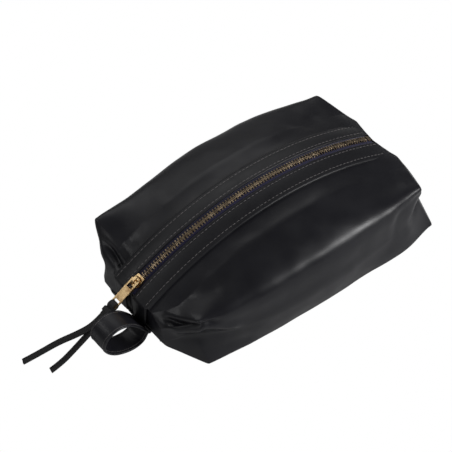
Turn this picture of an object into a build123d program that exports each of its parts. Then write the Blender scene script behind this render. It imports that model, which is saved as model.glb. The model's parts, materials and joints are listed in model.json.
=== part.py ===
from build123d import *
import math
import os

os.makedirs("parts", exist_ok=True)

# A leather toiletry bag lying on a table: +X runs along the zip, -X is the end with
# the wrist strap, +Z is up and the origin is under the middle of the base.
# Sizes are in millimetres, angles in degrees.

# Leather, lining and seams
LEATHER = 1.6
LINING = 0.7
SEAM_GAP = 0.35

# The zip runs along one large arc whose axis lies across the bag, far below it
ARC_X = 1.0
CREST_Z = 93.0
ARC_R = 272.0
ARC_Z = CREST_Z - ARC_R
TOP_SLOPE = 8.5


def turn_at(x):
    """Turn along the zip's arc, in degrees from its crest, at the place x."""
    return math.degrees(math.asin((x - ARC_X) / ARC_R))


CHAIN_START = turn_at(-140.7)
CHAIN_END = turn_at(122.8)
FIRST_TOOTH = turn_at(-137.9)
LAST_TOOTH = turn_at(119.8)
LIP_HALF = 94.8
LIP_START = turn_at(ARC_X - LIP_HALF)
LIP_END = turn_at(ARC_X + LIP_HALF)
LIP_GAP = 0.2
MOUTH_EASE = 0.35

# Tape and facing strips, measured across the bag from the zip's centre line
TAPE_IN = 1.5
TAPE_OUT = 20.5
TAPE_T = 0.6
FACING_IN = 6.2
FACING_OUT = 25.2
FACING_HEM = 3.6
MOUTH_HALF = 21.5
END_SLOT_HALF = 7.5

# Zip teeth: size 5 metal, two rows parted by a slit for the slider's post
TOOTH_STEP = math.degrees(2.8 / ARC_R)
TOOTH_T = 1.25
TOOTH_H = 2.8
SLIT_HALF = 0.75
TOOTH_OUT = 3.3
TOOTH_NECK = 0.35
TAPE_EASE = 0.02
STOP_L = 2.2
STOP_W = 2.4
BOX_L = 3.4

# Slider
SLIDER_REST = turn_at(-131.7)
SLIDER_L = 11.5
SLIDER_W = 10.0
SLIDER_REAR_W = 9.0
PLATE_T = 1.1
PLATE_CLEAR = 0.3
RIM_GAP = 0.45
POST_HALF = 0.42
POST_L = 3.0
CROWN_H = 5.2
CROWN_L = 8.0
CROWN_W = 2.6
CROWN_BAR = 1.3

# Pull tab
TAB_L = 31.0
TAB_W = 9.0
TAB_T = 1.4
TAB_BAR = 1.5
TAB_WINDOW_L = 8.0
TAB_WINDOW_W = 5.6
TAB_SLOT_L = 5.2
TAB_SLOT_W = 6.4
TAB_TIP_BAR = 2.2
TAB_DIP = 29.5

# Leather lace hitched through the tab
LACE_W = 6.0
LACE_T = 2.6
LACE_BUTT = 0.02
NECK_L = 8.5
NECK_LAP = 0.9
TAIL_LEAD = 12.0

# Wrist strap, folded into a loop and sewn into the left end seam
STRAP_W = 22.0
STRAP_T = 2.2
STRAP_Y = -16.0
SEAM_Z = 24.0
SEAM_HALF = 46.0
SEAM_T = 8.0

# Body sections
EAR_Z = 64.0
SHOULDER_Y = 42.0
MID_Z = 35.0
CORNER_Z = 8.0
BASE_TRIM = 0.6
LEFT_EAR_X = -120.0
RIGHT_EAR_X = 120.0
LEFT_FOOT_X = -117.0
RIGHT_FOOT_X = 133.0
LEFT_SEAM_X = -139.0
LEFT_CREST_X = -139.0
RIGHT_SEAM_X = 138.0
RIGHT_CREST_X = 126.0

ARC_AXIS = Axis((ARC_X, 0, ARC_Z), (0, 1, 0))


def arc_height(x, lift=0.0):
    """Height of the zip's arc, raised by lift, above the point x."""
    radius = ARC_R + lift
    turn = math.asin((x - ARC_X) / radius)
    return ARC_Z + radius * math.cos(turn)


def top_lift(y):
    """How far the flat top beside the zip lies off the arc at the distance y."""
    return -math.tan(math.radians(TOP_SLOPE)) * max(0.0, abs(y) - TAPE_IN)


def bag_section(x_ear, x_foot, ear_y, ear_z, mid_y, foot_y, foot_z, base_y, inset, soft):
    """Closed outline across the bag, on a plane that leans from ear to foot.

    The outer form dips a little below the table, where it is cut off flat.
    """
    lean = math.atan2(x_foot - x_ear, EAR_Z - CORNER_Z)
    plane = Plane(
        origin=(x_ear, 0, EAR_Z),
        x_dir=(0, 1, 0),
        z_dir=(math.cos(lean), 0, math.sin(lean)),
    )
    skin = TAPE_T / 2 + SEAM_GAP + inset

    def roof(y):
        x = x_ear
        for _ in range(3):
            z = arc_height(x, top_lift(y) - skin)
            x = x_ear + (EAR_Z - z) * math.tan(lean)
        return z

    base_z = inset if inset > 0 else -BASE_TRIM
    half = [
        (base_y - inset, base_z),
        (foot_y - inset, foot_z + inset),
        (mid_y - inset, MID_Z),
        (ear_y - inset, ear_z - inset),
        (SHOULDER_Y, roof(SHOULDER_Y)),
    ]
    top = [(0.0, roof(0.0))]
    points = [(-y, z) for y, z in half] + top + [(y, z) for y, z in reversed(half)]
    flat = [(y, (z - EAR_Z) / math.cos(lean)) for y, z in points]
    radii = [4 * soft, 4 * soft, 10 * soft, 9 * soft, 8 * soft]
    radii = radii + [6 * soft] + radii[::-1]
    return plane * FilletPolyline(*flat, radius=radii, close=True)


def gable_section(x_seam, x_crest, inset):
    """Closed outline at a tip of the bag: the end seam below, the zip's end above."""
    top_z = arc_height(x_crest, -TAPE_T / 2 - SEAM_GAP)
    lean = math.atan2(x_crest - x_seam, top_z - SEAM_Z)
    low = SEAM_Z - SEAM_T / 2 + inset
    high = SEAM_Z + SEAM_T / 2
    crest = top_z - inset
    half = [
        (SEAM_HALF - 5 - inset, low),
        (SEAM_HALF - inset, low + 1),
        (SEAM_HALF - inset, high - inset),
        (0.72 * SEAM_HALF - inset, high + 0.28 * (crest - high)),
        (0.3 * SEAM_HALF - inset, high + 0.82 * (crest - high)),
    ]
    points = [(-y, z) for y, z in half] + [(0, crest)] + [(y, z) for y, z in reversed(half)]
    radii = [0.4, 0.4, 0.6, 3, 3]
    plane = Plane(
        origin=(x_seam, 0, SEAM_Z), x_dir=(0, 1, 0), z_dir=(math.cos(lean), 0, -math.sin(lean))
    )
    flat = [(y, (z - SEAM_Z) / math.cos(lean)) for y, z in points]
    return plane * FilletPolyline(*flat, radius=radii + [3] + radii[::-1], close=True)


def as_face(wire):
    return Face(Wire(wire.edges()))


def bag_form(inset):
    """The bag as one closed form, drawn in by inset: a long pillow with a gusset at each end."""
    stations = [
        (LEFT_EAR_X, LEFT_FOOT_X, 76, 64, 62, 77, 8, 60, 0.35),
        (-96, -95, 77.5, 63, 73, 74, 6, 58, 0.8),
        (-50, -50, 79, 63, 80, 72, 5, 56, 1.15),
        (0, 0, 79, 63, 81, 71, 5, 55, 1.2),
        (50, 51, 79, 63, 80, 72, 5, 56, 1.15),
        (97, 104, 77.5, 63, 73, 74, 6, 58, 0.8),
        (RIGHT_EAR_X, RIGHT_FOOT_X, 76, 64, 62, 76, 8, 60, 0.35),
    ]
    faces = []
    for x_ear, x_foot, ear_y, ear_z, mid_y, foot_y, foot_z, base_y, soft in stations:
        ring = bag_section(
            x_ear, x_foot, ear_y, ear_z, mid_y, foot_y, foot_z, base_y, inset, soft
        )
        faces.append(as_face(ring))
    left_tip = as_face(gable_section(LEFT_SEAM_X + inset, LEFT_CREST_X + inset, inset))
    right_tip = as_face(gable_section(RIGHT_SEAM_X - inset, RIGHT_CREST_X - inset, inset))
    middle = loft(faces)
    left = loft([left_tip, faces[0]], ruled=True)
    right = loft([faces[-1], right_tip], ruled=True)
    return middle + left + right


def ring_band(points, start, end):
    """Turn an outline of (distance across, lift off the arc) about the arc's axis."""
    plane = Plane(origin=(ARC_X, 0, ARC_Z + ARC_R), x_dir=(0, 1, 0), z_dir=(1, 0, 0))
    face = make_face(plane * Polyline(*points, close=True))
    band = revolve(face, axis=ARC_AXIS, revolution_arc=end - start)
    return band.rotate(ARC_AXIS, start)


def mirrored(points, side):
    return [(side * y, lift) for y, lift in points]


def facing_outline(side):
    over = TAPE_T / 2
    step = TAPE_OUT + 0.3
    hem = FACING_OUT - FACING_HEM
    points = [
        (FACING_IN, top_lift(FACING_IN) + over),
        (step, top_lift(step) + over),
        (hem, top_lift(hem) - over),
        (FACING_OUT, top_lift(FACING_OUT) - over),
        (FACING_OUT, top_lift(FACING_OUT) + over + 0.6 * LEATHER),
        (FACING_OUT - 0.5, top_lift(FACING_OUT - 0.5) + over + LEATHER),
        (FACING_IN + 0.4, top_lift(FACING_IN + 0.4) + over + LEATHER),
        (FACING_IN, top_lift(FACING_IN) + over + 0.7 * LEATHER),
    ]
    return mirrored(points, side)


def tape_outline(side):
    half = TAPE_T / 2
    points = [
        (TAPE_IN, -half),
        (TAPE_OUT, top_lift(TAPE_OUT) - half),
        (TAPE_OUT, top_lift(TAPE_OUT) + half),
        (TAPE_IN, half),
    ]
    return mirrored(points, side)


def tooth(side, turn):
    """One metal tooth, crimped on the tape's edge, at a turn along the arc."""
    half_h = TOOTH_H / 2
    half_tape = TAPE_T / 2 + TAPE_EASE
    points = [
        (SLIT_HALF, -half_h + TOOTH_NECK),
        (TAPE_IN, -half_h),
        (TOOTH_OUT, -half_h + TOOTH_NECK),
        (TOOTH_OUT, top_lift(TOOTH_OUT) - half_tape),
        (TAPE_IN, -half_tape),
        (TAPE_IN, half_tape),
        (TOOTH_OUT, top_lift(TOOTH_OUT) + half_tape),
        (TOOTH_OUT, half_h - TOOTH_NECK),
        (TAPE_IN, half_h),
        (SLIT_HALF, half_h - TOOTH_NECK),
    ]
    plane = Plane(
        origin=(ARC_X - TOOTH_T / 2, 0, ARC_Z + ARC_R), x_dir=(0, 1, 0), z_dir=(1, 0, 0)
    )
    face = make_face(plane * Polyline(*mirrored(points, side), close=True))
    return extrude(face, amount=TOOTH_T, dir=(1, 0, 0)).rotate(ARC_AXIS, turn)


def teeth_row(side, start, end):
    """The teeth of one row that lie wholly between two turns along the arc."""
    half_turn = math.degrees(TOOTH_T / 2 / ARC_R) + 0.03
    shift = 0.0 if side > 0 else TOOTH_STEP / 2
    row = []
    for i in range(int((CHAIN_END - CHAIN_START) / TOOTH_STEP)):
        turn = CHAIN_START + shift + (i + 0.5) * TOOTH_STEP
        if max(start, FIRST_TOOTH) + half_turn < turn < min(end, LAST_TOOTH) - half_turn:
            row.append(tooth(side, turn))
    return Compound(children=row)


def mouth_cut():
    """The way into the bag between the lips, with a narrow slot under each end of the zip."""
    mouth = ring_band(
        [(-MOUTH_HALF, -30), (MOUTH_HALF, -30), (MOUTH_HALF, 12), (-MOUTH_HALF, 12)],
        LIP_START - MOUTH_EASE,
        LIP_END + MOUTH_EASE,
    )
    slot = ring_band(
        [(-END_SLOT_HALF, -6), (END_SLOT_HALF, -6), (END_SLOT_HALF, 12), (-END_SLOT_HALF, 12)],
        CHAIN_START - 1,
        CHAIN_END + 0.3,
    )
    return mouth + slot


def half_space(side):
    box = Box(500, 200, 300, align=(Align.CENTER, Align.MIN, Align.MIN))
    return box if side > 0 else box.mirror(Plane.XZ)


def panels():
    """The leather shell and its lining, each in a near and a far half."""
    cut = mouth_cut()
    outer = bag_form(0)
    middle = bag_form(LEATHER)
    inner = bag_form(LEATHER + LINING)
    shell = outer - middle - cut
    lining = middle - inner - cut
    made = {}
    for side, name in ((-1, "near"), (1, "far")):
        half = half_space(side)
        made["panel_" + name] = shell & half
        made["lining_" + name] = lining & half
    return made


def strips():
    """Facing, tape and teeth of both sides: a lip in the middle and a fixed piece at each end."""
    made = {}
    spans = (
        ("left", CHAIN_START, LIP_START - LIP_GAP),
        ("lip", LIP_START, LIP_END),
        ("right", LIP_END + LIP_GAP, CHAIN_END),
    )
    for side, name in ((-1, "near"), (1, "far")):
        ends = {"facing": [], "tape": [], "teeth": []}
        for span, start, end in spans:
            pieces = {
                "facing": ring_band(facing_outline(side), start, end),
                "tape": ring_band(tape_outline(side), start, end),
                "teeth": teeth_row(side, start, end),
            }
            for kind, piece in pieces.items():
                if span == "lip":
                    made["lip_" + kind + "_" + name] = piece
                else:
                    ends[kind].append(piece)
        for kind, group in ends.items():
            made[kind + "_ends_" + name] = Compound(children=group)
    return made


def at_arc(part, turn):
    """Move a piece drawn about the chain's centre to its turn along the arc."""
    return part.moved(Location((ARC_X, 0, ARC_Z + ARC_R))).rotate(ARC_AXIS, turn)


def plate_outline():
    front = SLIDER_W / 2
    rear = SLIDER_REAR_W / 2
    half = SLIDER_L / 2
    return Polyline(
        (-half, -0.6 * front), (-half + 2.2, -front), (0, -front), (half - 0.8, -rear),
        (half, -rear + 0.8), (half, rear - 0.8), (half - 0.8, rear), (0, front),
        (-half + 2.2, front), (-half, 0.6 * front), close=True,
    )


def slider():
    """Slider body: two plates with side flanges, a post between them and a crown on top."""
    face_z = TOOTH_H / 2 + PLATE_CLEAR
    plate = extrude(make_face(plate_outline()), amount=PLATE_T)
    rim = extrude(make_face(plate_outline()), amount=face_z - TAPE_T / 2 - RIM_GAP)
    inner_y = TOOTH_OUT + PLATE_CLEAR
    rim = rim - Box(2 * SLIDER_L, 2 * inner_y, 10)
    upper = plate.moved(Location((0, 0, face_z)))
    upper = upper + rim.moved(Location((0, 0, TAPE_T / 2 + RIM_GAP)))
    drop = -top_lift(SLIDER_W / 2)
    low_rim = extrude(make_face(plate_outline()), amount=face_z - TAPE_T / 2 - RIM_GAP - drop)
    low_rim = low_rim - Box(2 * SLIDER_L, 2 * inner_y, 10)
    lower = plate.moved(Location((0, 0, -face_z - PLATE_T)))
    lower = lower + low_rim.moved(Location((0, 0, -face_z)))
    post = Box(POST_L, 2 * POST_HALF, 2 * face_z).moved(
        Location((-SLIDER_L / 2 + POST_L / 2 + 0.8, 0, 0))
    )
    top_z = face_z + PLATE_T
    arch_plane = Plane(origin=(0, CROWN_W / 2, top_z), x_dir=(1, 0, 0), z_dir=(0, -1, 0))
    half = CROWN_L / 2
    arch = FilletPolyline(
        (-half, 0), (-half + 0.6, CROWN_H), (half - 0.6, CROWN_H), (half, 0),
        radius=[0.2, 1.6, 1.6, 0.2], close=True,
    )
    outline = make_face(arch_plane * arch)
    crown = extrude(outline, amount=CROWN_W, dir=(0, -1, 0))
    window = Box(CROWN_L - 2 * CROWN_BAR, 2 * CROWN_W, CROWN_H - CROWN_BAR,
                 align=(Align.CENTER, Align.CENTER, Align.MIN))
    crown = crown - window.moved(Location((0, 0, top_z)))
    return at_arc(upper + post + lower + crown, SLIDER_REST)


def pull_pivot():
    """The point in the crown's window that the pull tab swings about."""
    top_z = TOOTH_H / 2 + PLATE_CLEAR + PLATE_T
    lift = top_z + (CROWN_H - CROWN_BAR) / 2
    turn = math.radians(SLIDER_REST)
    return (
        ARC_X + (ARC_R + lift) * math.sin(turn),
        ARC_Z + (ARC_R + lift) * math.cos(turn),
    )


def hang(part):
    """Turn a piece drawn along -X from the pull's pivot to its hanging direction."""
    x, z = pull_pivot()
    tipped = part.rotate(Axis.Y, -TAB_DIP)
    return tipped.moved(Location((x, 0, z)))


def tab_hole():
    """Distance from the pivot to the middle of the tab's end bar, which carries the lace."""
    return TAB_L - TAB_BAR / 2 - TAB_TIP_BAR / 2


def pull_tab():
    start = TAB_BAR / 2
    profile = RectangleRounded(TAB_L, TAB_W, 1.4)
    blank = extrude(profile, amount=TAB_T / 2, both=True)
    blank = blank.moved(Location((start - TAB_L / 2, 0, 0)))
    window = Box(TAB_WINDOW_L, TAB_WINDOW_W, 3 * TAB_T)
    window = window.moved(Location((-TAB_BAR / 2 - TAB_WINDOW_L / 2, 0, 0)))
    slot = Box(TAB_SLOT_L, TAB_SLOT_W, 3 * TAB_T)
    slot_x = -tab_hole() + TAB_TIP_BAR / 2 + TAB_SLOT_L / 2
    slot = slot.moved(Location((slot_x, 0, 0)))
    return hang(blank - window - slot)


def bight_radius():
    """Inner radius of the lace's bight round the tab's end bar."""
    return math.hypot(TAB_TIP_BAR, TAB_T) / 2 + 0.35


def lace_hitch():
    """The lace's hitch: a bight round the tab's end bar, pulled tight by a turn of itself."""
    inner = bight_radius()
    outer = inner + LACE_T
    bight = Cylinder(outer, LACE_W, rotation=(90, 0, 0)) - Cylinder(
        inner, 2 * LACE_W, rotation=(90, 0, 0)
    )
    neck = Box(NECK_L, LACE_W, 2 * LACE_T + 0.2, align=(Align.MAX, Align.CENTER, Align.CENTER))
    neck = neck.moved(Location((NECK_LAP - outer, 0, 0)))
    turn = Box(5.0, LACE_W + 2.4, 2 * LACE_T + 2.6)
    turn = fillet(turn.edges(), 1.0)
    turn = turn.moved(Location((-outer - 2.2, 0, 0)))
    knot = (bight + neck + turn).moved(Location((-tab_hole(), 0, 0)))
    return hang(knot)


def tail_root(layer):
    """First two points of a tail, straight out of the hitch's neck; layer is 1 above, -1 below."""
    x, z = pull_pivot()
    dip = math.radians(TAB_DIP)
    reach = tab_hole() + bight_radius() + LACE_T - NECK_LAP + NECK_L + LACE_BUTT
    lift = layer * (LACE_T + 0.2) / 2
    points = []
    for along in (reach, reach + TAIL_LEAD):
        points.append(
            (x - along * math.cos(dip) - lift * math.sin(dip), 0,
             z - along * math.sin(dip) + lift * math.cos(dip))
        )
    return points


LONG_TAIL = tail_root(1) + [(-193, 7, 29), (-208, 17, 19.5), (-224, 24.5, 9.5), (-238, 30, 3.2)]
SHORT_TAIL = tail_root(-1) + [
    (-191, 0.8, 27), (-203, 2.5, 17.5), (-214, 4.8, 8.2), (-224.5, 6.9, 3.2),
]


def tail(points):
    """A flat leather tail along straight runs joined by arcs."""
    vectors = [Vector(*p) for p in points]
    radii = []
    for a, b, c in zip(vectors, vectors[1:], vectors[2:]):
        turn = math.radians((b - a).get_angle(c - b))
        radii.append(0.45 * min((b - a).length, (c - b).length) / math.tan(turn / 2))
    path = FilletPolyline(*vectors, radius=radii)
    along = (vectors[1] - vectors[0]).normalized()
    side = Vector(0, 1, 0) - along * along.Y
    plane = Plane(origin=vectors[0], x_dir=side.normalized(), z_dir=along)
    return sweep(plane * Rectangle(LACE_W, LACE_T), path=path)


def wrist_strap():
    """A flat band folded into a loop, its two ends joined in a rounded root at the end seam."""
    ride = STRAP_T / 2 + 0.05
    root_r = STRAP_T + 0.05
    seam_x = LEFT_SEAM_X - SEAM_GAP
    root_x = seam_x - root_r
    route = [
        (root_x, SEAM_Z + ride), (seam_x - 4.5, SEAM_Z + ride), (-149, 42.5), (-159, 51),
        (-173, 53), (-184.5, 46), (-186, 33), (-176, 22.5), (-161, 15.5), (-150, 14.5),
        (seam_x - 4.5, SEAM_Z - ride), (root_x, SEAM_Z - ride),
    ]
    radii = [2.4, 9, 9, 9, 8, 8, 9, 12, 6, 2.4]
    plane = Plane(origin=(0, STRAP_Y, 0), x_dir=(1, 0, 0), z_dir=(0, -1, 0))
    path = plane * FilletPolyline(*route, radius=radii)
    start = path @ 0
    along = path % 0
    section = Plane(origin=start, x_dir=(0, 1, 0), z_dir=along) * Rectangle(STRAP_W, STRAP_T)
    root = Cylinder(root_r, STRAP_W, rotation=(90, 0, 0))
    return sweep(section, path=path) + root.moved(Location((root_x, STRAP_Y, SEAM_Z)))


def stop_blank(length, width):
    """A crimped metal stop with a slit for the tapes, drawn about the chain's centre."""
    blank = Box(length, width, TOOTH_H)
    blank = fillet(blank.edges().filter_by(Axis.Z), 0.5)
    reach = TAPE_IN - TAPE_EASE
    slit_t = TAPE_T - 2 * top_lift(TOOTH_OUT)
    slit = Box(2 * length, width, slit_t, align=(Align.CENTER, Align.MIN, Align.CENTER))
    return blank, slit, reach


def stops():
    """A top stop on each tape where the closed slider parks, and a box at the far end."""
    tops = []
    for side in (-1, 1):
        blank, slit, reach = stop_blank(STOP_L, STOP_W)
        middle = SLIT_HALF + STOP_W / 2
        stop = blank.moved(Location((0, middle, 0))) - slit.moved(Location((0, reach, 0)))
        if side < 0:
            stop = stop.mirror(Plane.XZ)
        tops.append(at_arc(stop, (CHAIN_START + FIRST_TOOTH) / 2))
    blank, slit, reach = stop_blank(BOX_L, 2 * TOOTH_OUT)
    box = blank - slit.moved(Location((0, reach, 0)))
    box = box - slit.mirror(Plane.XZ).moved(Location((0, -reach, 0)))
    return {
        "top_stops": Compound(children=tops),
        "bottom_stop": at_arc(box, (CHAIN_END + LAST_TOOTH) / 2),
    }


def seam_bindings():
    """Bound seam allowances inside each end seam."""
    wall = LEATHER + LINING
    reach = 7.0
    thick = 1.6
    width = 2 * (SEAM_HALF - wall - 3)
    made = {}
    for name, x in (
        ("left", LEFT_SEAM_X + wall), ("right", RIGHT_SEAM_X - wall - reach - SEAM_GAP),
    ):
        strip = Box(reach, width, thick, align=(Align.MIN, Align.CENTER, Align.CENTER))
        strip = fillet(strip.edges().filter_by(Axis.Y), 0.5)
        made["seam_binding_" + name] = strip.moved(Location((x, 0, SEAM_Z)))
    return made


def build():
    nodes = {}
    nodes.update(panels())
    nodes.update(strips())
    nodes.update(stops())
    nodes.update(seam_bindings())
    nodes["slider_body"] = slider()
    nodes["pull_tab"] = pull_tab()
    nodes["lace_hitch"] = lace_hitch()
    nodes["lace_tail_long"] = tail(LONG_TAIL)
    nodes["lace_tail_short"] = tail(SHORT_TAIL)
    nodes["wrist_strap"] = wrist_strap()
    return nodes


for node, shape in build().items():
    export_step(shape, "parts/" + node + ".step")
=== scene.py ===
import bpy
import json
import math
import numpy as np
from mathutils import Matrix, Vector, noise

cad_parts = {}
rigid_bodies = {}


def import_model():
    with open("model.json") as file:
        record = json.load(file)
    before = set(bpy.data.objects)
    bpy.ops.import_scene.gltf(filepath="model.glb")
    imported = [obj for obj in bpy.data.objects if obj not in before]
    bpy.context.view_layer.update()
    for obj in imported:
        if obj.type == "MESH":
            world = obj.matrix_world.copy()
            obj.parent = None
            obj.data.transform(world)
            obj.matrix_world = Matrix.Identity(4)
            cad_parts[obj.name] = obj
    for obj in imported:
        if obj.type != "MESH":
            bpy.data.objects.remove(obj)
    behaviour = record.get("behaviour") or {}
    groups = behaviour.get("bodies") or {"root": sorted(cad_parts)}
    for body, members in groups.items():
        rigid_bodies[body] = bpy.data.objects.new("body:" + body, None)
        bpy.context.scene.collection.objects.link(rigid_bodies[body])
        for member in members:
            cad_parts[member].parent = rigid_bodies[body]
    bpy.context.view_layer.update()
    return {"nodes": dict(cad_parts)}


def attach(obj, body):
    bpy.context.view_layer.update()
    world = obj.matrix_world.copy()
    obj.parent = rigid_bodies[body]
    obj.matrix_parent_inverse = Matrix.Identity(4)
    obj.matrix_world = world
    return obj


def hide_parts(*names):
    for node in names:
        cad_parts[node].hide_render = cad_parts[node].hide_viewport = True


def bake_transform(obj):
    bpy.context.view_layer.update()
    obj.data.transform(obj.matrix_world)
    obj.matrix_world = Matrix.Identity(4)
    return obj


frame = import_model()

# Lengths below are millimetres in the model's own frame; MM turns them into metres.
MM = 0.001

# Zip arc and the layers on it
ARC_X = 1.0
ARC_Z = -179.0
ARC_R = 272.0
CHAIN_START = -31.4
CHAIN_END = 26.6
FIRST_TOOTH = -30.7
LAST_TOOTH = 25.9
TOP_SLOPE = math.tan(math.radians(8.5))
TAPE_IN = 1.5
TAPE_OUT = 20.5
TAPE_T = 0.6
FACING_IN = 6.2
FACING_OUT = 25.2
LEATHER = 1.6
SEAM_GAP = 0.35
MOUTH_HALF = 21.5
END_SLOT_HALF = 7.5
MOUTH_REACH = 95.5
TOOTH_STEP = 0.59
HALVES = ((-1, "near"), (1, "far"))

# Bag form
EAR_Z = 64.0
MID_Z = 35.0
CORNER_Z = 8.0
SEAM_Z = 24.0
SEAM_HALF = 46.0
SEAM_T = 8.0
LEFT_SEAM_X = -139.0
LEFT_CREST_X = -139.0
RIGHT_SEAM_X = 138.0
RIGHT_CREST_X = 126.0

# Camera, as fitted to the photograph
CAM_AZIMUTH = math.radians(-33.94)
CAM_ELEVATION = math.radians(49.01)
CAM_ROLL = math.radians(-4.0)
CAM_DISTANCE = 2000.0
CAM_TARGET = (-24.1, 20.0, 35.0)
CAM_LENS = 179.9
SENSOR_WIDTH = 36.0
FAR_CLIP = 20.0
WORLD_LIGHT = 0.10


def clear_stage():
    """Take out the lights and cameras of the start-up file."""
    for kind in ("LIGHT", "CAMERA"):
        for ob in [o for o in bpy.data.objects if o.type == kind]:
            bpy.data.objects.remove(ob)


def new_object(name, data, body=None):
    """An object in the scene and, where it moves as one, its body."""
    ob = bpy.data.objects.new(name, data)
    bpy.context.scene.collection.objects.link(ob)
    if body:
        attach(ob, body)
    return ob


def mesh_from(name, verts, faces):
    """A smooth-shaded mesh from points in millimetres."""
    me = bpy.data.meshes.new(name)
    me.from_pydata([Vector(v) * MM for v in verts], [], faces)
    me.update()
    me.polygons.foreach_set("use_smooth", [True] * len(me.polygons))
    return me


def tube_faces(count, cols, flip, base=0):
    """Faces round count closed rings of cols points each, with a flat cap at both ends."""
    faces = []
    for i in range(count - 1):
        for j in range(cols):
            a = base + i * cols + j
            b = base + i * cols + (j + 1) % cols
            quad = (a, b, b + cols, a + cols)
            faces.append(quad[::-1] if flip else quad)
    first = tuple(range(base, base + cols))
    last = tuple(range(base + (count - 1) * cols, base + count * cols))
    faces.append(first if flip else first[::-1])
    faces.append(last[::-1] if flip else last)
    return faces


def sharp_by_angle(ob, degrees):
    """Keep edges that turn by more than this many degrees crisp."""
    ob.data.set_sharp_from_angle(angle=math.radians(degrees))


def apply_all(ob):
    """Turn the object's modifiers into plain mesh."""
    bpy.context.view_layer.update()
    graph = bpy.context.evaluated_depsgraph_get()
    me = bpy.data.meshes.new_from_object(ob.evaluated_get(graph))
    ob.modifiers.clear()
    ob.data = me


# Materials


def node_tools(mat):
    """Two helpers for one material: one adds a node with its values, one joins two nodes."""
    nodes = mat.node_tree.nodes
    links = mat.node_tree.links

    def add(kind, **values):
        node = nodes.new(kind)
        for key, value in values.items():
            if key in node.inputs:
                node.inputs[key].default_value = value
            else:
                setattr(node, key, value)
        return node

    def join(a, out, b, into):
        links.new(a.outputs[out], b.inputs[into])

    return add, join


def start_material(name):
    """A new material and its surface shader."""
    mat = bpy.data.materials.new(name)
    mat.use_nodes = True
    shader = mat.node_tree.nodes["Principled BSDF"]
    return mat, shader


def ramp(add, stops):
    """A colour ramp with the given (place, colour) stops."""
    node = add("ShaderNodeValToRGB")
    while len(node.color_ramp.elements) < len(stops):
        node.color_ramp.elements.new(0.5)
    for element, (place, colour) in zip(node.color_ramp.elements, stops):
        element.position = place
        element.color = (*colour, 1)
    return node


def leather_material(name, dark, light, rough, grain, bump):
    """Dyed leather: pebbled grain, fine pores, faint colour drift and uneven polish."""
    pore_ratio = 3.2
    pore_share = 0.35
    smoother = 0.05
    rougher = 0.07
    mat, shader = start_material(name)
    add, join = node_tools(mat)
    coord = add("ShaderNodeTexCoord")
    drift = add("ShaderNodeTexNoise", Scale=14.0, Detail=4.0)
    pebbles = add("ShaderNodeTexVoronoi", Scale=grain, feature="SMOOTH_F1", Smoothness=0.6)
    pores = add("ShaderNodeTexNoise", Scale=grain * pore_ratio, Detail=3.0)
    wear = add("ShaderNodeTexNoise", Scale=55.0, Detail=5.0)
    for node in (drift, pebbles, pores, wear):
        join(coord, "Object", node, "Vector")
    colour = ramp(add, [(0.3, dark), (0.75, light)])
    join(drift, "Fac", colour, "Fac")
    join(colour, "Color", shader, "Base Color")
    polish = add("ShaderNodeMapRange")
    polish.inputs["From Min"].default_value = 0.3
    polish.inputs["From Max"].default_value = 0.7
    polish.inputs["To Min"].default_value = rough - smoother
    polish.inputs["To Max"].default_value = rough + rougher
    join(wear, "Fac", polish, "Value")
    join(polish, "Result", shader, "Roughness")
    height = add("ShaderNodeMath", operation="MULTIPLY_ADD")
    height.inputs[1].default_value = pore_share
    join(pores, "Fac", height, 0)
    join(pebbles, "Distance", height, 2)
    relief = add("ShaderNodeBump", Strength=bump, Distance=0.0003)
    join(height, "Value", relief, "Height")
    join(relief, "Normal", shader, "Normal")
    shader.inputs["Specular IOR Level"].default_value = 0.42
    return mat


def woven_material(name, dark, light, threads):
    """Close weave: two crossed wave bands and a fine fuzz drive colour and relief."""
    fuzz_share = 0.4
    mat, shader = start_material(name)
    add, join = node_tools(mat)
    coord = add("ShaderNodeTexCoord")
    warp = add("ShaderNodeTexWave", Scale=threads, Distortion=0.6)
    weft = add("ShaderNodeTexWave", Scale=threads, Distortion=0.6, bands_direction="Y")
    fuzz = add("ShaderNodeTexNoise", Scale=900.0, Detail=2.0)
    for node in (warp, weft, fuzz):
        join(coord, "Object", node, "Vector")
    cross = add("ShaderNodeMath", operation="MULTIPLY")
    join(warp, "Fac", cross, 0)
    join(weft, "Fac", cross, 1)
    mix = add("ShaderNodeMath", operation="MULTIPLY_ADD")
    mix.inputs[1].default_value = fuzz_share
    join(fuzz, "Fac", mix, 0)
    join(cross, "Value", mix, 2)
    colour = ramp(add, [(0.15, dark), (0.85, light)])
    join(mix, "Value", colour, "Fac")
    join(colour, "Color", shader, "Base Color")
    relief = add("ShaderNodeBump", Strength=0.5, Distance=0.0002)
    join(mix, "Value", relief, "Height")
    join(relief, "Normal", shader, "Normal")
    shader.inputs["Roughness"].default_value = 0.85
    shader.inputs["Sheen Weight"].default_value = 0.25
    return mat


def brass_material(name, dark, light, rough):
    """Brass with brown toning in patches and a fine brushed, handled surface."""
    smoother = 0.08
    rougher = 0.14
    mat, shader = start_material(name)
    add, join = node_tools(mat)
    coord = add("ShaderNodeTexCoord")
    toning = add("ShaderNodeTexNoise", Scale=160.0, Detail=6.0)
    scratch = add("ShaderNodeTexNoise", Scale=900.0, Detail=4.0)
    for node in (toning, scratch):
        join(coord, "Object", node, "Vector")
    colour = ramp(add, [(0.35, dark), (0.68, light)])
    join(toning, "Fac", colour, "Fac")
    join(colour, "Color", shader, "Base Color")
    shine = add("ShaderNodeMapRange")
    shine.inputs["To Min"].default_value = rough - smoother
    shine.inputs["To Max"].default_value = rough + rougher
    join(scratch, "Fac", shine, "Value")
    join(shine, "Result", shader, "Roughness")
    relief = add("ShaderNodeBump", Strength=0.12, Distance=0.0001)
    join(scratch, "Fac", relief, "Height")
    join(relief, "Normal", shader, "Normal")
    shader.inputs["Metallic"].default_value = 1.0
    return mat


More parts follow.
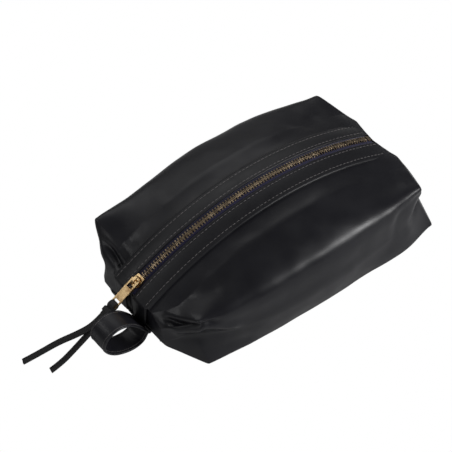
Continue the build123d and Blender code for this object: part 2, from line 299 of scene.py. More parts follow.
def thread_material(name, dark, light):
    """Waxed sewing thread: fine twist lines along each stitch."""
    mat, shader = start_material(name)
    add, join = node_tools(mat)
    coord = add("ShaderNodeTexCoord")
    twist = add("ShaderNodeTexNoise", Scale=1400.0, Detail=2.0)
    join(coord, "Object", twist, "Vector")
    colour = ramp(add, [(0.3, dark), (0.7, light)])
    join(twist, "Fac", colour, "Fac")
    join(colour, "Color", shader, "Base Color")
    relief = add("ShaderNodeBump", Strength=0.4, Distance=0.0001)
    join(twist, "Fac", relief, "Height")
    join(relief, "Normal", shader, "Normal")
    shader.inputs["Roughness"].default_value = 0.6
    return mat


def floor_material():
    """Pale sweep that the camera sees as plain white and that lights the object from below."""
    mat, shader = start_material("pale_floor")
    add, join = node_tools(mat)
    coord = add("ShaderNodeTexCoord")
    speck = add("ShaderNodeTexNoise", Scale=8.0, Detail=2.0)
    join(coord, "Object", speck, "Vector")
    colour = ramp(add, [(0.3, (0.78, 0.78, 0.78)), (0.7, (0.84, 0.84, 0.84))])
    join(speck, "Fac", colour, "Fac")
    join(colour, "Color", shader, "Base Color")
    shader.inputs["Roughness"].default_value = 0.9
    plain = add("ShaderNodeEmission", Color=(1, 1, 1, 1), Strength=1.0)
    path = add("ShaderNodeLightPath")
    pick = add("ShaderNodeMixShader")
    join(path, "Is Camera Ray", pick, "Fac")
    mat.node_tree.links.new(shader.outputs["BSDF"], pick.inputs[1])
    mat.node_tree.links.new(plain.outputs["Emission"], pick.inputs[2])
    join(pick, "Shader", mat.node_tree.nodes["Material Output"], "Surface")
    return mat


def studio_world():
    """White behind the object for the camera, dim and even light for everything else."""
    world = bpy.data.worlds.new("studio")
    world.use_nodes = True
    nodes = world.node_tree.nodes
    links = world.node_tree.links
    dim = nodes["Background"]
    dim.inputs["Color"].default_value = (1, 1, 1, 1)
    dim.inputs["Strength"].default_value = WORLD_LIGHT
    plain = nodes.new("ShaderNodeBackground")
    plain.inputs["Color"].default_value = (1, 1, 1, 1)
    plain.inputs["Strength"].default_value = 1.0
    path = nodes.new("ShaderNodeLightPath")
    pick = nodes.new("ShaderNodeMixShader")
    links.new(path.outputs["Is Camera Ray"], pick.inputs["Fac"])
    links.new(dim.outputs["Background"], pick.inputs[1])
    links.new(plain.outputs["Background"], pick.inputs[2])
    links.new(pick.outputs["Shader"], nodes["World Output"].inputs["Surface"])
    return world


LEATHER_MAT = leather_material(
    "bag_leather", (0.0085, 0.0085, 0.0115), (0.0135, 0.0135, 0.0175), 0.36, 950.0, 0.1
)
FACING_MAT = leather_material(
    "strip_leather", (0.009, 0.009, 0.0115), (0.014, 0.014, 0.0165), 0.42, 1000.0, 0.12
)
LACE_MAT = leather_material(
    "lace_leather", (0.012, 0.012, 0.013), (0.022, 0.021, 0.022), 0.55, 1400.0, 0.22
)
LINING_MAT = woven_material("lining_cloth", (0.008, 0.008, 0.009), (0.028, 0.028, 0.03), 700.0)
TAPE_MAT = woven_material("zip_tape", (0.006, 0.006, 0.022), (0.022, 0.02, 0.085), 900.0)
TOOTH_MAT = brass_material("antique_brass", (0.16, 0.12, 0.085), (0.55, 0.43, 0.29), 0.3)
PULL_MAT = brass_material("worn_brass", (0.42, 0.27, 0.13), (0.85, 0.63, 0.34), 0.28)
THREAD_MAT = thread_material("black_thread", (0.09, 0.085, 0.09), (0.2, 0.185, 0.185))


# Places on the bag


def arc_height(x, lift=0.0):
    """Height of the zip's arc at x, or of a line at lift over it."""
    radius = ARC_R + lift
    return ARC_Z + radius * math.cos(math.asin((x - ARC_X) / radius))


def top_lift(y):
    """How far the bag's top falls off at y, because both sides slope down from the zip."""
    return -TOP_SLOPE * max(0.0, abs(y) - TAPE_IN)


def on_arc(turn, y, lift):
    """The point at a turn in degrees along the zip's arc, at y and at lift over the arc."""
    radius = ARC_R + lift
    angle = math.radians(turn)
    return (ARC_X + radius * math.sin(angle), y, ARC_Z + radius * math.cos(angle))


def turn_of(x):
    """The turn in degrees at which the zip's arc passes x."""
    return math.degrees(math.asin((x - ARC_X) / ARC_R))


def rounded(points, radii, per_line=7, per_arc=6):
    """Points along an open outline whose inner corners are rounded."""
    longest_cut = 0.45
    pts = [Vector(p) for p in points]
    out = []
    at = pts[0]
    for i in range(1, len(pts) - 1):
        corner = pts[i]
        before = corner - pts[i - 1]
        after = pts[i + 1] - corner
        d_in = before.normalized()
        d_out = after.normalized()
        turn = d_in.angle(d_out)
        reach = radii[i - 1] * math.tan(turn / 2)
        reach = min(reach, longest_cut * before.length, longest_cut * after.length)
        a = corner - d_in * reach
        b = corner + d_out * reach
        for k in range(per_line):
            out.append(at.lerp(a, k / per_line))
        for k in range(per_arc):
            t = k / per_arc
            out.append(a * (1 - t) ** 2 + corner * 2 * t * (1 - t) + b * t ** 2)
        at = b
    for k in range(per_line + 1):
        out.append(at.lerp(pts[-1], k / per_line))
    return out


# Sections of the body along its length. Each row: x at the ear, x at the foot, y and z of the
# ear, y of the widest place, y and z of the foot, y where the flat base ends, corner softness
STATIONS = (
    (-120, -117, 76, 64, 62, 77, 8, 60, 0.35),
    (-96, -95, 77.5, 63, 73, 74, 6, 58, 0.8),
    (-50, -50, 79, 63, 80, 72, 5, 56, 1.15),
    (0, 0, 79, 63, 81, 71, 5, 55, 1.2),
    (50, 51, 79, 63, 80, 72, 5, 56, 1.15),
    (97, 104, 77.5, 63, 73, 74, 6, 58, 0.8),
    (120, 133, 76, 64, 62, 76, 8, 60, 0.35),
)
SHOULDER_Y = 42.0


def station_at(t):
    """Section sizes between the stations, by a smooth curve through them; t runs 0 to 6."""
    rows = np.array(STATIONS, float)
    i = min(int(t), len(rows) - 2)
    f = t - i
    p1 = rows[i]
    p2 = rows[i + 1]
    m1 = (p2 - rows[i - 1]) / 2 if i > 0 else p2 - p1
    m2 = (rows[i + 2] - p1) / 2 if i + 2 < len(rows) else p2 - p1
    f2 = f * f
    f3 = f * f * f
    return (
        (2 * f3 - 3 * f2 + 1) * p1 + (f3 - 2 * f2 + f) * m1
        + (-2 * f3 + 3 * f2) * p2 + (f3 - f2) * m2
    )


def ear_ring(t):
    """Half ring of the pillow from the middle of the base to the mouth's edge."""
    x_ear, x_foot, ear_y, ear_z, mid_y, foot_y, foot_z, base_y, soft = station_at(t)
    lean = (x_foot - x_ear) / (EAR_Z - CORNER_Z)
    skin = TAPE_T / 2 + SEAM_GAP

    def roof(y):
        # the section leans, so its place under the arc is found by a few repeats
        x = x_ear
        for _ in range(3):
            z = arc_height(x, top_lift(y) - skin)
            x = x_ear + (EAR_Z - z) * lean
        return z

    half = [
        (0, 0), (base_y, 0), (foot_y, foot_z), (mid_y, MID_Z), (ear_y, ear_z),
        (SHOULDER_Y, roof(SHOULDER_Y)), (MOUTH_HALF, roof(MOUTH_HALF)),
        (END_SLOT_HALF, roof(END_SLOT_HALF)),
    ]
    radii = [4 * soft, 4 * soft, 22 * soft, 14 * soft, 14 * soft, 0.1]
    flat = rounded(half, radii)
    return [Vector((x_ear + (EAR_Z - p.y) * lean, p.x, p.y)) for p in flat]


def tip_ring(x_seam, x_crest):
    """Half ring at a tip, from under the end seam up to the zip's end."""
    top_z = arc_height(x_crest, -TAPE_T / 2 - SEAM_GAP)
    low = SEAM_Z - SEAM_T / 2
    high = SEAM_Z + SEAM_T / 2
    half = [
        (0, low), (SEAM_HALF - 5, low), (SEAM_HALF, low + 1), (SEAM_HALF, high),
        (0.86 * SEAM_HALF, high + 0.4 * (top_z - high)),
        (0.62 * SEAM_HALF, top_z - 5.0), (12.0, top_z - 2.0), (END_SLOT_HALF, top_z - 1.0),
    ]
    flat = rounded(half, [1, 1, 1, 6, 5, 0.1])
    lean = (x_crest - x_seam) / (top_z - SEAM_Z)
    return [Vector((x_seam + (p.y - SEAM_Z) * lean, p.x, p.y)) for p in flat]


def skin_rings():
    """All half rings from the left tip to the right tip, on the far side (+Y)."""
    rings = []
    # the tips narrow to a line in these shares of their width
    cap = (0.0, 0.3, 0.6, 0.85, 0.97)
    gusset_steps = 9
    per_span = 13
    left_ear = ear_ring(0)
    right_ear = ear_ring(len(STATIONS) - 1)
    left_tip = tip_ring(LEFT_SEAM_X, LEFT_CREST_X)
    right_tip = tip_ring(RIGHT_SEAM_X, RIGHT_CREST_X)
    rings += [[Vector((p.x, p.y * s, p.z)) for p in left_tip] for s in cap]
    for k in range(gusset_steps):
        s = k / gusset_steps
        rings.append([a.lerp(b, s) for a, b in zip(left_tip, left_ear)])
    for k in range(per_span * (len(STATIONS) - 1)):
        rings.append(ear_ring(k / per_span))
    for k in range(gusset_steps + 1):
        s = k / gusset_steps
        rings.append([a.lerp(b, s) for a, b in zip(right_ear, right_tip)])
    rings += [[Vector((p.x, p.y * s, p.z)) for p in right_tip] for s in cap[::-1]]
    return rings


# How far the soft walls swell at mid-length, in mm: outward at each height, and the shoulders up
SWELL_OUT = 9.0
SWELL_FOOT = 13.0
SWELL_UP = 8.0
SWELL_MIDDLE = 5.0
SWELL_REACH = 122.0

# Where the swell sets in and where it is full: the wall in y, the foot in z, the shoulder in z and y
WALL_EASE = (26, 80)
FOOT_EASE = (4, 45)
RISE_EASE = (20, 66)
FRINGE_EASE = (28, 72)

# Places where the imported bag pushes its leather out: centre, reach and shift
FAR_PULLS = (
    ((-118, 72, 62), 24.0, (-4, 4, 6)),
    ((122, 40, 62), 26.0, (5, 0, 3)),
)
NEAR_PULLS = (
    ((124, -40, 60), 24.0, (6, 0, 3)),
    ((96, -74, 10), 34.0, (2, -5, 0)),
)


def eased(value, start, end):
    """Rise from 0 at start to 1 at end with soft shoulders."""
    t = min(1.0, max(0.0, (value - start) / (end - start)))
    return t * t * (3 - 2 * t)


def swollen(p, side):
    """The point p of a side wall after the soft leather has swelled outward."""
    along = max(0.0, 1 - ((p.x - SWELL_MIDDLE) / SWELL_REACH) ** 2)
    outward = eased(abs(p.y), *WALL_EASE)
    low = 1 - eased(p.z, *FOOT_EASE)
    # only the near wall bulges more at its foot
    out = SWELL_OUT + (SWELL_FOOT - SWELL_OUT) * low * (1 if side < 0 else 0)
    high = eased(p.z, *RISE_EASE)
    fringe = eased(abs(p.y), *FRINGE_EASE)
    q = p + Vector((0, side * out * along * outward, SWELL_UP * along * high * fringe))
    for centre, reach, shift in FAR_PULLS if side > 0 else NEAR_PULLS:
        q += Vector(shift) * math.exp(-(((p - Vector(centre)).length / reach) ** 2))
    return q


# Folds of the leather: path in mm, half width, and height (minus is pressed in)
NEAR_FOLDS = (
    # the left corner's tuck: upper lip, crease and lower lip
    (((-133, -36, 53), (-129, -50, 56), (-124, -64, 62), (-116, -75, 63)), 4.5, 1.6),
    (((-134, -38, 47), (-130, -50, 49.5), (-126, -62, 54.5), (-117, -75, 59), (-104, -78, 57)),
     2.8, -6.0),
    (((-134, -47, 41), (-127, -62, 47), (-117, -75, 52), (-102, -78, 48), (-82, -78, 41)),
     5.0, 2.8),
    (((-128, -60, 34), (-116, -74, 38), (-96, -78, 33)), 6.0, -2.2),
    (((-104, -77, 22), (-70, -78, 16)), 7.0, -1.2),
    # the right corner's tuck and the crease running down from it
    (((121, -72, 57), (110, -75, 58), (100, -77, 58)), 3.0, -3.0),
    (((100, -77, 59), (88, -79, 57), (84, -79, 50), (82, -79, 39), (80, -78, 26)), 4.5, -2.6),
    (((112, -75, 52), (100, -77, 44), (100, -76, 30), (101, -76, 16)), 7.0, 2.2),
    (((130, -58, 40), (118, -70, 38), (110, -74, 36)), 5.0, -3.0),
    # slack across the top and the front
    (((-116, -36, 66), (-104, -50, 70), (-84, -58, 74)), 7.0, -1.4),
    (((-70, -79, 60), (-20, -80, 58), (40, -80, 60)), 9.0, 1.2),
    (((60, -60, 80), (96, -56, 74), (114, -60, 66)), 8.0, -1.0),
)
FAR_FOLDS = (
    (((-123, 66, 56), (-127, 50, 54), (-130, 36, 53.5), (-132, 24, 54)), 3.0, -5.0),
    (((-118, 44, 63), (-119, 33, 63), (-122, 21, 62), (-126, 10, 61)), 4.0, 1.3),
    (((-112, 50, 66), (-113, 38, 66), (-116, 26, 66)), 4.5, -1.2),
    (((-134, 45, 44), (-128, 58, 46), (-119, 72, 50), (-104, 77, 46)), 5.0, 2.2),
    (((-128, 60, 34), (-116, 73, 38), (-98, 77, 34)), 6.0, -2.2),
    (((118, 72, 57), (108, 76, 58), (96, 78, 56)), 3.5, -3.0),
    (((96, 78, 58), (86, 79, 50), (84, 79, 34)), 5.0, -2.2),
    (((104, 50, 70), (88, 44, 75), (70, 52, 78)), 8.0, -1.2),
    (((-60, 79, 60), (0, 80, 58), (50, 80, 60)), 9.0, 1.2),
)
END_FADE = 8.0
END_SHARE = 0.35

# Slow waves in the leather: height, width and the place in the noise where they start
WAVES = ((1.3, 48.0, (3.1, 0, 5)), (0.4, 17.0, (0, 7.7, 3)))

# The top lies above this height; folds and waves set in over these distances from the base,
# the middle seam, the mouth and, fading out, the end seams
TOP_Z = 60
BASE_CALM = 8
SEAM_CALM = 4
MOUTH_CALM = (27, 42)
END_CALM = (131, 138)


def fold_height(p, folds):
    """Height of all folds at the point p, each fading out over its last few millimetres."""
    total = 0.0
    for path, half_width, height in folds:
        best = None
        run = 0.0
        for a, b in zip(path, path[1:]):
            a = Vector(a)
            line = Vector(b) - a
            s = max(0.0, min(1.0, (p - a).dot(line) / line.length_squared))
            d = (p - a - line * s).length
            if best is None or d < best[0]:
                best = (d, run + s * line.length)
            run += line.length
        if best[0] > 3 * half_width:
            continue
        ends = min(best[1], run - best[1])
        fade = END_SHARE + (1 - END_SHARE) * min(1.0, ends / END_FADE)
        total += height * fade * math.exp(-((best[0] / half_width) ** 2))
    return total


def in_mouth(p):
    """Whether the point lies in the opening under the zip, which has no shell."""
    return abs(p.y) < MOUTH_HALF and abs(p.x - ARC_X) < MOUTH_REACH and p.z > TOP_Z


def grid_faces(rows, cols, flip, verts):
    """Faces of a grid of points, left out over the mouth."""
    faces = []
    for i in range(rows - 1):
        for j in range(cols - 1):
            a = i * cols + j
            if in_mouth((verts[a] + verts[a + cols + 1]) / 2):
                continue
            quad = (a, a + 1, a + cols + 1, a + cols)
            faces.append(quad[::-1] if flip else quad)
    return faces


def body_half(side, name, inset, thickness, mat, replaced):
    """One half of the leather shell or of its lining."""
    rings = skin_rings()
    rows = len(rings)
    cols = len(rings[0])
    verts = [swollen(Vector((p.x, side * p.y, p.z)), side) for ring in rings for p in ring]
    me = mesh_from(name, verts, grid_faces(rows, cols, side < 0, verts))
    ob = new_object(name, me)
    smooth = ob.modifiers.new("smooth", "SUBSURF")
    smooth.levels = 0 if inset else 1
    smooth.boundary_smooth = "PRESERVE_CORNERS"
    apply_all(ob)
    me = ob.data
    normals = [v.normal.copy() for v in me.vertices]
    folds = FAR_FOLDS if side > 0 else NEAR_FOLDS
    for v, n in zip(me.vertices, normals):
        p = v.co / MM
        calm = min(1.0, max(0.0, p.z / BASE_CALM))
        if p.z > TOP_Z:
            calm *= eased(abs(p.y), *MOUTH_CALM)
        seam = min(1.0, abs(p.y) / SEAM_CALM) * (1 - eased(abs(p.x), *END_CALM))
        wave = 0.0
        for wave_height, width, (from_x, from_y, from_z) in WAVES:
            place = p / width + Vector((from_x, from_y, side * from_z))
            wave += wave_height * noise.noise(place)
        shift = calm * seam * (fold_height(p, folds) + wave) - inset
        v.co = v.co + n * (shift * MM)
        v.co.z = max(v.co.z, inset * MM)
    # the base and the seam along the middle stay where they are while the rest is evened out
    free_y = 0.003
    free_z = 0.002
    loose = [v.index for v in me.vertices if abs(v.co.y) > free_y and v.co.z > free_z]
    free = ob.vertex_groups.new(name="free")
    free.add(loose, 1.0, "REPLACE")
    even = ob.modifiers.new("even", "SMOOTH")
    even.vertex_group = "free"
    even.factor = 0.5
    even.iterations = 3
    skin = ob.modifiers.new("thick", "SOLIDIFY")
    skin.thickness = thickness * MM
    skin.offset = -1
    apply_all(ob)
    ob.data.materials.clear()
    ob.data.materials.append(mat)
    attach(ob, "root")
    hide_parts(replaced)


# Strips beside the zip, each in a left and a right half
STRIP_STEPS = 46
STRIP_SHARP = 50


def strip_spans():
    """The two halves: name, first turn and last turn."""
    return (("left", CHAIN_START, turn_of(ARC_X)), ("right", turn_of(ARC_X), CHAIN_END))


def bend_with_lip(ob):
    """Bake the piece's placement into its mesh."""
    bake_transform(ob)


def facing_profile():
    """Outline across a facing: (distance from the zip, height over the tape), anticlockwise."""
    base = TAPE_T / 2
    top = base + LEATHER
    return [
        (FACING_IN, base), (FACING_IN - 0.15, base + 0.5 * LEATHER), (FACING_IN + 0.35, top - 0.1),
        (FACING_IN + 1.2, top + 0.05), (FACING_IN + 2.9, top - 0.12), (FACING_IN + 4.2, top + 0.12),
        (0.5 * (FACING_IN + FACING_OUT), top + 0.22), (FACING_OUT - 5.4, top + 0.14),
        (FACING_OUT - 4.1, top - 0.1), (FACING_OUT - 2.6, top + 0.02), (FACING_OUT - 0.6, top - 0.1),
        (FACING_OUT, top - 0.6), (FACING_OUT, -base), (FACING_OUT - 3.6, -base),
        (TAPE_OUT + 0.3, base),
    ]


def sweep_profile(name, profile, side, turns):
    """A closed profile carried along the arc, with flat ends."""
    verts = []
    for turn in turns:
        for y, lift in profile:
            verts.append(on_arc(turn, side * y, top_lift(y) + lift))
    return mesh_from(name, verts, tube_faces(len(turns), len(profile), side > 0))


def turned_end(side):
    """The facing carried over the bag's left end and down to the seam, in one sheet."""
    bend = 3.0
    bend_steps = 8
    fall_steps = 10
    splay = 0.1
    seam_rise = 1.0
    pinch = 0.22
    x, _, z = on_arc(CHAIN_START, 0, 0)
    heading = math.radians(-CHAIN_START)
    stations = [(x, z, heading)]
    for k in range(1, bend_steps + 1):
        last = heading + (math.pi / 2 - heading) * k / bend_steps
        x -= bend * (math.sin(last) - math.sin(stations[-1][2]))
        z -= bend * (math.cos(stations[-1][2]) - math.cos(last))
        stations.append((x, z, last))
    for k in range(1, fall_steps + 1):
        low_z = z - (z - SEAM_Z - seam_rise) * k / fall_steps
        stations.append((x + splay * k, low_z, math.pi / 2))
    verts = []
    for i, (x, z, angle) in enumerate(stations):
        fall = i / (len(stations) - 1)
        for y, lift in facing_profile():
            narrow = 1 - pinch * fall
            rise = lift + top_lift(y) * (1 - fall)
            verts.append((x - rise * math.sin(angle), side * y * narrow, z + rise * math.cos(angle)))
    faces = tube_faces(len(stations), len(facing_profile()), side < 0)
    return mesh_from("turned_end", verts, faces)


def make_turned_ends():
    for side, side_name in HALVES:
        me = turned_end(side)
        me.materials.append(FACING_MAT)
        ob = new_object("turned_end_" + side_name, me, "root")
        sharp_by_angle(ob, STRIP_SHARP)


def tape_profile():
    """Outline across a tape, with a bead along the edge that carries the teeth."""
    half_t = TAPE_T / 2
    bead = 0.55
    bead_root = TAPE_IN - 0.5
    bead_tip = TAPE_IN - 0.8
    return [
        (TAPE_IN, -half_t), (TAPE_OUT, -half_t), (TAPE_OUT, half_t), (TAPE_IN, half_t),
        (bead_root, bead), (bead_tip, 0), (bead_root, -bead),
    ]


def make_strips():
    for side, side_name in HALVES:
        kinds = (
            ("facing", facing_profile(), "facing_leather", FACING_MAT),
            ("tape", tape_profile(), "zip_tape", TAPE_MAT),
        )
        for span, start, end in strip_spans():
            turns = [start + (end - start) * k / STRIP_STEPS for k in range(STRIP_STEPS + 1)]
            for kind, profile, slot, mat in kinds:
                name = kind + "_" + side_name + "_" + span
                me = sweep_profile(name, profile, side, turns)
                me.materials.append(mat)
                ob = new_object(name, me)
                sharp_by_angle(ob, STRIP_SHARP)
                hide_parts("lip_" + kind + "_" + side_name, kind + "_ends_" + side_name)
                bend_with_lip(ob)


# Teeth: head and foot as distances from the zip's middle line, and the cut-back edges
TOOTH_HEAD = -1.45
TOOTH_FOOT = 3.3
TOOTH_BEVEL = 0.22
TOOTH_SHARP = 40
ROW_MARGIN = 0.15


def tooth_rings():
    """Sections of one tooth from head to crimped foot: (distance, half length, half height)."""
    return (
        (TOOTH_HEAD, 0.36, 0.70), (TOOTH_HEAD + 0.35, 0.56, 1.10), (-0.2, 0.60, 1.32),
        (0.55, 0.52, 1.26), (0.95, 0.50, 1.24), (1.5, 0.62, 1.42), (2.7, 0.64, 1.42),
        (TOOTH_FOOT, 0.52, 1.05),
    )


def tooth_outline(half_x, half_z):
    """One section of a tooth: a rectangle with its corners cut back."""
    short_x = half_x - TOOTH_BEVEL
    short_z = half_z - TOOTH_BEVEL
    return [
        (-short_x, -half_z), (short_x, -half_z), (half_x, -short_z), (half_x, short_z),
        (short_x, half_z), (-short_x, half_z), (-half_x, short_z), (-half_x, -short_z),
    ]


def tooth_turns(side):
    """Where the teeth of one row stand; the near row lies half a step further on."""
    shift = 0.0 if side > 0 else TOOTH_STEP / 2
    turns = []
    for i in range(int((CHAIN_END - CHAIN_START) / TOOTH_STEP)):
        turn = CHAIN_START + shift + (i + 0.5) * TOOTH_STEP
        if FIRST_TOOTH + ROW_MARGIN < turn < LAST_TOOTH - ROW_MARGIN:
            turns.append(turn)
    return turns


def make_teeth():
    rings = tooth_rings()
    for side, side_name in HALVES:
        turns = tooth_turns(side)
        for span, start, end in strip_spans():
            verts = []
            faces = []
            for turn in turns:
                if not start <= turn < end:
                    continue
                base = len(verts)
                for y, half_x, half_z in rings:
                    outline = tooth_outline(half_x, half_z)
                    for dx, dz in outline:
                        x, _, z = on_arc(turn + math.degrees(dx / ARC_R), 0, dz)
                        verts.append((x, side * y, z))
                faces += tube_faces(len(rings), len(outline), side > 0, base)
            me = mesh_from("teeth_" + side_name + "_" + span, verts, faces)
            me.materials.append(TOOTH_MAT)
            ob = new_object(me.name, me)
            sharp_by_angle(ob, TOOTH_SHARP)
            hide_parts("lip_teeth_" + side_name, "teeth_ends_" + side_name)
            bend_with_lip(ob)


# Topstitching: pitch, stitch length and thickness, and how deep its line lies in the leather
STITCH_PITCH = math.degrees(4.2 / ARC_R)
STITCH_LENGTH = 3.3
STITCH_RADIUS = 0.32
STITCH_SINK = 0.12
STITCH_ROWS = (FACING_IN + 2.9, FACING_OUT - 4.1)


def stitch_mesh(name, places, length, radius):
    """Short lens-shaped stitches, each lying along its own direction."""
    rings = 5
    sides = 6
    crown = 0.25
    verts = []
    faces = []
    for centre, along, up in places:
        across = along.cross(up).normalized()
        base = len(verts)
        for i in range(rings):
            s = i / (rings - 1)
            # thick in the middle and thin, but not closed, at both ends
            swell = radius * math.sqrt(max(0.02, math.sin(math.pi * (0.06 + 0.88 * s))))
            spine = centre + along * (length * (s - 0.5)) + up * (crown * math.sin(math.pi * s))
            for j in range(sides):
                angle = 2 * math.pi * j / sides
                verts.append(spine + across * swell * math.cos(angle)
                             + up * swell * math.sin(angle))
        faces += tube_faces(rings, sides, False, base)
    return mesh_from(name, verts, faces)


def make_stitches():
    for side, side_name in HALVES:
        for span, start, end in strip_spans():
            places = []
            for y in STITCH_ROWS:
                lift = top_lift(y) + TAPE_T / 2 + LEATHER - STITCH_SINK
                count = int((end - start) / STITCH_PITCH)
                for i in range(count):
                    turn = start + (i + 0.5) * (end - start) / count
                    angle = math.radians(turn)
                    along = Vector((math.cos(angle), 0, -math.sin(angle)))
                    up = Vector((math.sin(angle), 0, math.cos(angle)))
                    places.append((Vector(on_arc(turn, side * y, lift)), along, up))
            name = "stitches_" + side_name + "_" + span
            me = stitch_mesh(name, places, STITCH_LENGTH, STITCH_RADIUS)
            me.materials.append(THREAD_MAT)
            ob = new_object(name, me)
            bend_with_lip(ob)


# Lace tails: the same points as the model's own routes
LONG_TAIL = [
    (-170.41, 0, 43.6), (-180.86, 0, 37.69), (-193, 7, 29), (-208, 17, 19.5),
    (-224, 24.5, 9.5), (-238, 30, 3.2),
]
SHORT_TAIL = [
    (-169.03, 0, 41.16), (-179.48, 0, 35.25), (-191, 0.8, 27), (-203, 2.5, 17.5),
    (-214, 4.8, 8.2), (-224.5, 6.9, 3.2),
]
LACE_W = 6.0
LACE_T = 2.6
LACE_EDGE = 0.55
LACE_CUP = 0.15
LACE_ROLL = 0.25
LACE_SHARP = 50


def spline_points(points):
    """The smooth line that a lace tail follows: a NURBS spline's own points, in metres."""
    data = bpy.data.curves.new("route", "CURVE")
    data.dimensions = "3D"
    data.resolution_u = 10
    spline = data.splines.new("NURBS")
    spline.points.add(len(points) - 1)
    for point, p in zip(spline.points, points):
        point.co = (*[c * MM for c in p], 1)
    spline.order_u = 3
    spline.use_endpoint_u = True
    ob = bpy.data.objects.new("route", data)
    bpy.context.scene.collection.objects.link(ob)
    bpy.context.view_layer.update()
    graph = bpy.context.evaluated_depsgraph_get()
    line = bpy.data.meshes.new_from_object(ob.evaluated_get(graph))
    found = [v.co.copy() for v in line.vertices]
    bpy.data.objects.remove(ob)
    return found


def make_tail(name, points, node):
    """A flat cut lace with softened edges, square ends and a slight cupping."""
    line = spline_points(points)
    half_w = LACE_W / 2
    half_t = LACE_T / 2
    flat_w = half_w - LACE_EDGE
    flat_t = half_t - LACE_EDGE
    outline = [
        (flat_w, -half_t), (half_w, -flat_t), (half_w, flat_t), (flat_w, half_t),
        (0.0, half_t - LACE_CUP), (-flat_w, half_t), (-half_w, flat_t), (-half_w, -flat_t),
        (-flat_w, -half_t),
    ]
    verts = []
    for i, p in enumerate(line):
        along = (line[min(i + 1, len(line) - 1)] - line[max(i - 1, 0)]).normalized()
        side = (Vector((0, 1, 0)) - along * along.y).normalized()
        up = side.cross(along)
        if up.z < 0:
            up = -up
        turn = LACE_ROLL * math.sin(0.7 * math.pi * i / len(line))
        roll = Matrix.Rotation(turn, 3, along)
        for y, h in outline:
            verts.append(p / MM + roll @ (side * y + up * h))
    me = mesh_from(name, verts, tube_faces(len(line), len(outline), False))
    me.materials.append(LACE_MAT)
    ob = new_object(name, me, "lace")
    sharp_by_angle(ob, LACE_SHARP)
    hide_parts(node)
    return ob, line


# Wrist strap: a band in a loop, as places (x, z) seen from the bag's side, and its sewn root
STRAP_W = 22.0
STRAP_T = 2.2
STRAP_Y = -16.0
STRAP_ROOT = (-141.6, 24.0)
STRAP_LOOP = (
    (-143.6, 25.1), (-150.5, 35.5), (-160, 45.5), (-173, 49.5), (-184.5, 44.5), (-187, 33),
    (-177.5, 21.5), (-162, 15), (-150, 16), (-143.6, 22.9),
)
STRAP_SPAN_STEPS = 8
STRAP_SAG = 0.6
STRAP_SHARP = 55
STRAP_STITCH_LENGTH = 1.6
STRAP_STITCH_RADIUS = 0.22
STRAP_STITCH_EDGE = 2.2
ROOT_SHARP = 40
# the root's rounded bar: places along it and the radius there
ROOT_BAR = ((-11, 1.7), (-10.5, 2.2), (10.5, 2.2), (11, 1.7))


def closed_curve(points, per_span):
    """Smooth closed run through the points (x, z)."""
    count = len(points)
    out = []
    for i in range(count):
        p0, p1, p2, p3 = (Vector(points[(i + k - 1) % count]) for k in range(4))
        for k in range(per_span):
            t = k / per_span
            out.append(0.5 * (2 * p1 + (p2 - p0) * t + (2 * p0 - 5 * p1 + 4 * p2 - p3) * t * t
                              + (3 * p1 - p0 - 3 * p2 + p3) * t ** 3))
    return out


def strap_profile():
    """Across the strap: (offset from its middle, height), with rolled edges and a stitch groove."""
    half_w = STRAP_W / 2
    half_t = STRAP_T / 2
    upper = [
        (half_w, 0.0), (half_w - 0.35, 0.75 * half_t), (half_w - 1.1, half_t),
        (half_w - 2.2, half_t - 0.16), (half_w - 3.2, half_t - 0.02), (0.0, half_t + 0.1),
    ]
    upper += [(-y, h) for y, h in upper[-2::-1]]
    return upper + [(-y, -h) for y, h in upper[1:-1]]


def strap_flow(loop, i):
    """Direction of the closed loop at its point i."""
    return (loop[(i + 1) % len(loop)] - loop[i - 1]).normalized()


def make_strap_band(loop):
    profile = strap_profile()
    count = len(loop)
    cols = len(profile)
    verts = []
    for i, p in enumerate(loop):
        along = strap_flow(loop, i)
        normal = Vector((-along.y, along.x))
        sag = STRAP_SAG * math.sin(2.5 * math.pi * i / count)
        for y, h in profile:
            verts.append((p.x + normal.x * h, STRAP_Y + y + sag, p.y + normal.y * h))
    faces = []
    for i in range(count):
        nxt = (i + 1) % count
        for j in range(cols):
            faces.append((i * cols + j, i * cols + (j + 1) % cols,
                          nxt * cols + (j + 1) % cols, nxt * cols + j))
    me = mesh_from("strap_band", verts, faces)
    me.materials.append(LEATHER_MAT)
    band = new_object("strap_band", me, "strap")
    sharp_by_angle(band, STRAP_SHARP)
    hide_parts("wrist_strap")


def make_strap_stitches(loop):
    """Stitches along both edges of the band, on both of its faces, clear of the root."""
    clear = 4
    places = []
    for i in range(clear, len(loop) - clear):
        p = loop[i]
        flow = strap_flow(loop, i)
        along = Vector((flow.x, 0, flow.y))
        up = Vector((-flow.y, 0, flow.x))
        for edge in (-1, 1):
            y = STRAP_Y + edge * (STRAP_W / 2 - STRAP_STITCH_EDGE)
            for face in (-1, 1):
                centre = Vector((p.x, y, p.y)) + up * face * (STRAP_T / 2 - STITCH_SINK)
                places.append((centre, along, up * face))
    me = stitch_mesh("strap_stitches", places, STRAP_STITCH_LENGTH, STRAP_STITCH_RADIUS)
    me.materials.append(THREAD_MAT)
    new_object("strap_stitches", me, "strap")


def make_strap_root():
    """The rounded bar that the band is sewn round, next to the end seam."""
    sides = 20
    root_x, root_z = STRAP_ROOT
    verts = []
    for y, radius in ROOT_BAR:
        for k in range(sides):
            angle = 2 * math.pi * k / sides
            x = root_x + radius * math.cos(angle)
            verts.append((x, STRAP_Y + y, root_z + radius * math.sin(angle)))
    me = mesh_from("strap_root", verts, tube_faces(len(ROOT_BAR), sides, True))
    me.materials.append(LEATHER_MAT)
    ob = new_object("strap_root", me, "strap")
    sharp_by_angle(ob, ROOT_SHARP)


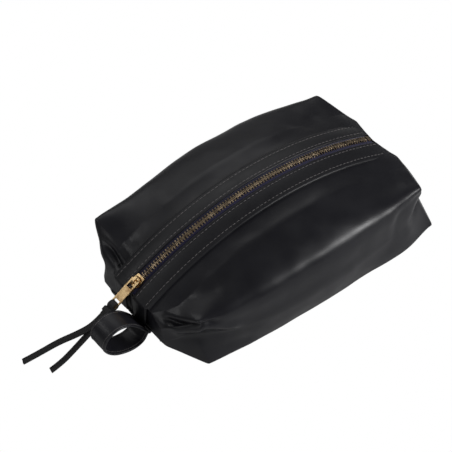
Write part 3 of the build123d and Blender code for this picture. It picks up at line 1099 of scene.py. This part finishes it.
def make_strap():
    loop = closed_curve((STRAP_ROOT,) + STRAP_LOOP, STRAP_SPAN_STEPS)
    make_strap_band(loop)
    make_strap_stitches(loop)
    make_strap_root()


def dress_nodes():
    """Give the solids that stay as they are the scene's own materials."""
    for node, mat in (
        ("slider_body", PULL_MAT), ("pull_tab", PULL_MAT), ("top_stops", TOOTH_MAT),
        ("bottom_stop", TOOTH_MAT), ("seam_binding_left", TAPE_MAT),
        ("seam_binding_right", TAPE_MAT), ("lace_hitch", LACE_MAT),
    ):
        ob = frame["nodes"][node]
        ob.data.materials.clear()
        ob.data.materials.append(mat)


def make_camera():
    azimuth = CAM_AZIMUTH
    flat = math.cos(CAM_ELEVATION)
    back = Vector((
        math.sin(azimuth) * flat, -math.cos(azimuth) * flat, math.sin(CAM_ELEVATION)
    ))
    right = Vector((math.cos(azimuth), math.sin(azimuth), 0))
    up = back.cross(right)
    rolled_right = right * math.cos(CAM_ROLL) + up * math.sin(CAM_ROLL)
    rolled_up = up * math.cos(CAM_ROLL) - right * math.sin(CAM_ROLL)
    data = bpy.data.cameras.new("camera")
    data.lens = CAM_LENS
    data.sensor_width = SENSOR_WIDTH
    data.clip_end = FAR_CLIP
    ob = bpy.data.objects.new("camera", data)
    bpy.context.scene.collection.objects.link(ob)
    turn = Matrix((rolled_right, rolled_up, back)).transposed().to_4x4()
    place = (Vector(CAM_TARGET) + back * CAM_DISTANCE) * MM
    ob.matrix_world = Matrix.Translation(place) @ turn
    bpy.context.scene.camera = ob


# Lights: name, place and aim in metres, size in metres, and power in watts
BAG_MIDDLE = (0, 0, 0.05)
LIGHTS = (
    ("key", (1.0, -1.15, 1.05), BAG_MIDDLE, (0.55, 0.55), 20),
    ("top", (0.5, 1.3, 1.2), BAG_MIDDLE, (1.4, 1.0), 4),
    ("metal", (-0.65, 0.8, 1.05), (-0.14, 0, 0.05), (0.3, 0.3), 1.1),
    ("side", (-1.3, -0.4, 0.8), BAG_MIDDLE, (0.8, 0.6), 2.5),
)
FLOOR_HALF = 3.0


def area_light(name, place, aim, size, power):
    data = bpy.data.lights.new(name, "AREA")
    data.shape = "RECTANGLE"
    data.size = size[0]
    data.size_y = size[1]
    data.energy = power
    ob = bpy.data.objects.new(name, data)
    bpy.context.scene.collection.objects.link(ob)
    ob.location = place
    ob.rotation_euler = (Vector(place) - Vector(aim)).to_track_quat("Z", "Y").to_euler()


def make_studio():
    half = FLOOR_HALF
    corners = [(-half, -half, 0), (half, -half, 0), (half, half, 0), (-half, half, 0)]
    me = bpy.data.meshes.new("floor")
    me.from_pydata(corners, [], [(0, 1, 2, 3)])
    floor = bpy.data.objects.new("floor", me)
    bpy.context.scene.collection.objects.link(floor)
    me.materials.append(floor_material())
    for light in LIGHTS:
        area_light(*light)
    bpy.context.scene.world = studio_world()
    bpy.context.scene.view_settings.view_transform = "Standard"


# Wall thickness of shell and lining, and how far the lining lies inside the shell's face
SHELL_T = 1.5
LINING_INSET = 1.7
LINING_T = 0.5

clear_stage()
make_camera()
for tail_name, route, length in (("long", LONG_TAIL, 0.085), ("short", SHORT_TAIL, 0.068)):
    tail, line = make_tail("tail_" + tail_name, route, "lace_tail_" + tail_name)
for side, side_name in HALVES:
    body_half(side, "shell_" + side_name, 0.0, SHELL_T, LEATHER_MAT,
              "panel_" + side_name)
    body_half(side, "cloth_" + side_name, LINING_INSET, LINING_T, LINING_MAT,
              "lining_" + side_name)
make_strips()
make_turned_ends()
make_strap()
make_teeth()
make_stitches()
dress_nodes()
make_studio()

bpy.context.view_layer.update()
